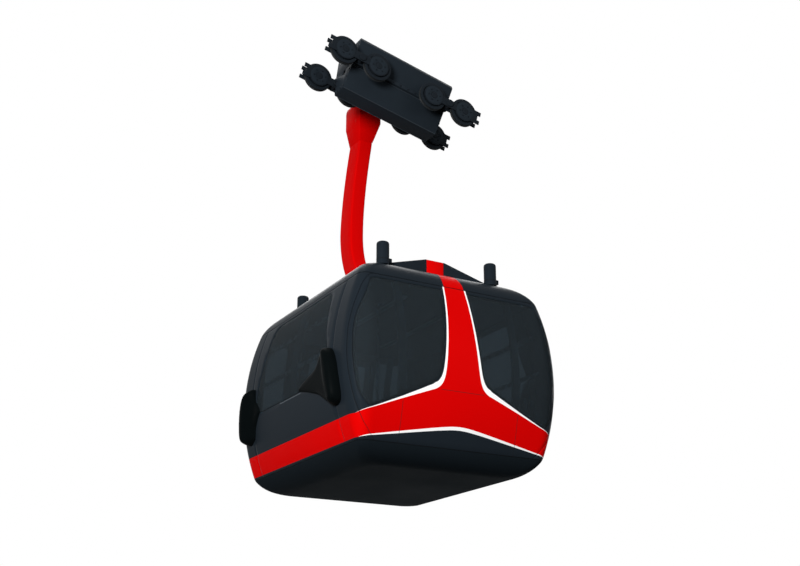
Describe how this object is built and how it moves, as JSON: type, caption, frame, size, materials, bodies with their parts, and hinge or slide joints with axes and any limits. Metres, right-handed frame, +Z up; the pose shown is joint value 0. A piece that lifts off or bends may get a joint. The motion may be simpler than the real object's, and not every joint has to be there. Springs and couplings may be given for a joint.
{
  "type": "ropeway cabin with carriage",
  "caption": "Passenger cabin that hangs by a curved side arm from a wheeled carriage on two track ropes, with sliding doors, bumpers and a rope grip.",
  "frame": {"origin": "midway between the axes of the two track ropes, at rope level, under the middle of the carriage", "axes": "+X downhill along the ropes in plan, +Y across the ropes towards the doors and the hanger arm, +Z up"},
  "size_m": [3.2797, 3.584, 6.3556],
  "materials": {
    "shell_paint": "gloss",
    "band_paint": "gloss",
    "arm_paint": "satin",
    "carriage_paint": "satin",
    "bumper_plastic": "gloss",
    "tinted_glass": "clear",
    "bare_steel": "satin",
    "seat_plastic": "matte",
    "trim_plastic": "matte",
    "floor_rubber": "matte"
  },
  "bodies": {
    "carriage": {"carriage_frame": "carriage_paint", "carriage_cover": "carriage_paint", "rope_grip": "bare_steel", "rocker_stubs": "carriage_paint", "pivot_cradle": "carriage_paint", "pivot_axle": "carriage_paint"},
    "cabin": {"underbody": "shell_paint", "floor_plate": "floor_rubber", "side_wall": "band_paint", "side_glass": "tinted_glass", "door_side_wall": "shell_paint", "door_side_glass": "tinted_glass", "end_wall_front": "shell_paint", "end_wall_rear": "shell_paint", "end_glass": "tinted_glass", "corner_pillars": "shell_paint", "window_posts": "trim_plastic", "window_rails": "bare_steel", "roof_panel": "shell_paint", "ceiling_panel": "trim_plastic", "roof_beam": "band_paint", "roof_fairings": "shell_paint", "roof_posts": "shell_paint", "bumpers_front": "bumper_plastic", "bumpers_rear": "bumper_plastic", "door_track": "carriage_paint", "door_sill": "bare_steel", "bench_front": "seat_plastic", "bench_rear": "seat_plastic", "grab_poles": "bare_steel", "hanger_arm": "arm_paint", "hanger_head": "arm_paint", "hanger_foot": "arm_paint"},
    "door_front": {"door_leaf_front": "shell_paint", "door_glass_front": "tinted_glass"},
    "door_rear": {"door_leaf_rear": "shell_paint", "door_glass_rear": "tinted_glass"},
    "rocker_near_front": {"rocker_near_front": "carriage_paint"},
    "rocker_near_rear": {"rocker_near_rear": "carriage_paint"},
    "rocker_far_front": {"rocker_far_front": "carriage_paint"},
    "rocker_far_rear": {"rocker_far_rear": "carriage_paint"},
    "wheel_near_1": {"wheel_near_1": "carriage_paint"},
    "wheel_near_2": {"wheel_near_2": "carriage_paint"},
    "wheel_near_3": {"wheel_near_3": "carriage_paint"},
    "wheel_near_4": {"wheel_near_4": "carriage_paint"},
    "wheel_far_1": {"wheel_far_1": "carriage_paint"},
    "wheel_far_2": {"wheel_far_2": "carriage_paint"},
    "wheel_far_3": {"wheel_far_3": "carriage_paint"},
    "wheel_far_4": {"wheel_far_4": "carriage_paint"}
  },
  "joints": [
    {"name": "hanger_swing", "type": "hinge", "parent": "carriage", "child": "cabin", "pos_m": [0.09805, 0, 0.4084], "axis": [0, 1, 0], "range_deg": [-35, 35]},
    {"name": "door_front_slide", "type": "slide", "parent": "cabin", "child": "door_front", "axis": [1, 0, 0], "range_m": [0, 0.525]},
    {"name": "door_rear_slide", "type": "slide", "parent": "cabin", "child": "door_rear", "axis": [-1, 0, 0], "range_m": [0, 0.525]},
    {"name": "rocker_near_front_rock", "type": "hinge", "parent": "carriage", "child": "rocker_near_front", "pos_m": [0.77138, -0.43, 0.04312], "axis": [0, 1, 0], "range_deg": [-4, 4]},
    {"name": "rocker_near_rear_rock", "type": "hinge", "parent": "carriage", "child": "rocker_near_rear", "pos_m": [-0.66773, -0.43, 0.38862], "axis": [0, 1, 0], "range_deg": [-4, 4]},
    {"name": "rocker_far_front_rock", "type": "hinge", "parent": "carriage", "child": "rocker_far_front", "pos_m": [0.77138, 0.43, 0.04312], "axis": [0, 1, 0], "range_deg": [-4, 4]},
    {"name": "rocker_far_rear_rock", "type": "hinge", "parent": "carriage", "child": "rocker_far_rear", "pos_m": [-0.66773, 0.43, 0.38862], "axis": [0, 1, 0], "range_deg": [-4, 4]},
    {"name": "wheel_near_1_spin", "type": "hinge", "parent": "rocker_near_rear", "child": "wheel_near_1", "pos_m": [-0.93027, -0.43, 0.45165], "axis": [0, 1, 0], "continuous": true},
    {"name": "wheel_near_2_spin", "type": "hinge", "parent": "rocker_near_rear", "child": "wheel_near_2", "pos_m": [-0.40519, -0.43, 0.32559], "axis": [0, 1, 0], "continuous": true},
    {"name": "wheel_near_3_spin", "type": "hinge", "parent": "rocker_near_front", "child": "wheel_near_3", "pos_m": [0.50884, -0.43, 0.10615], "axis": [0, 1, 0], "continuous": true},
    {"name": "wheel_near_4_spin", "type": "hinge", "parent": "rocker_near_front", "child": "wheel_near_4", "pos_m": [1.03392, -0.43, -0.01991], "axis": [0, 1, 0], "continuous": true},
    {"name": "wheel_far_1_spin", "type": "hinge", "parent": "rocker_far_rear", "child": "wheel_far_1", "pos_m": [-0.93027, 0.43, 0.45165], "axis": [0, 1, 0], "continuous": true},
    {"name": "wheel_far_2_spin", "type": "hinge", "parent": "rocker_far_rear", "child": "wheel_far_2", "pos_m": [-0.40519, 0.43, 0.32559], "axis": [0, 1, 0], "continuous": true},
    {"name": "wheel_far_3_spin", "type": "hinge", "parent": "rocker_far_front", "child": "wheel_far_3", "pos_m": [0.50884, 0.43, 0.10615], "axis": [0, 1, 0], "continuous": true},
    {"name": "wheel_far_4_spin", "type": "hinge", "parent": "rocker_far_front", "child": "wheel_far_4", "pos_m": [1.03392, 0.43, -0.01991], "axis": [0, 1, 0], "continuous": true}
  ],
  "couplings": [
    {"joint": "door_rear_slide", "follows": "door_front_slide", "ratio": 1}
  ]
}
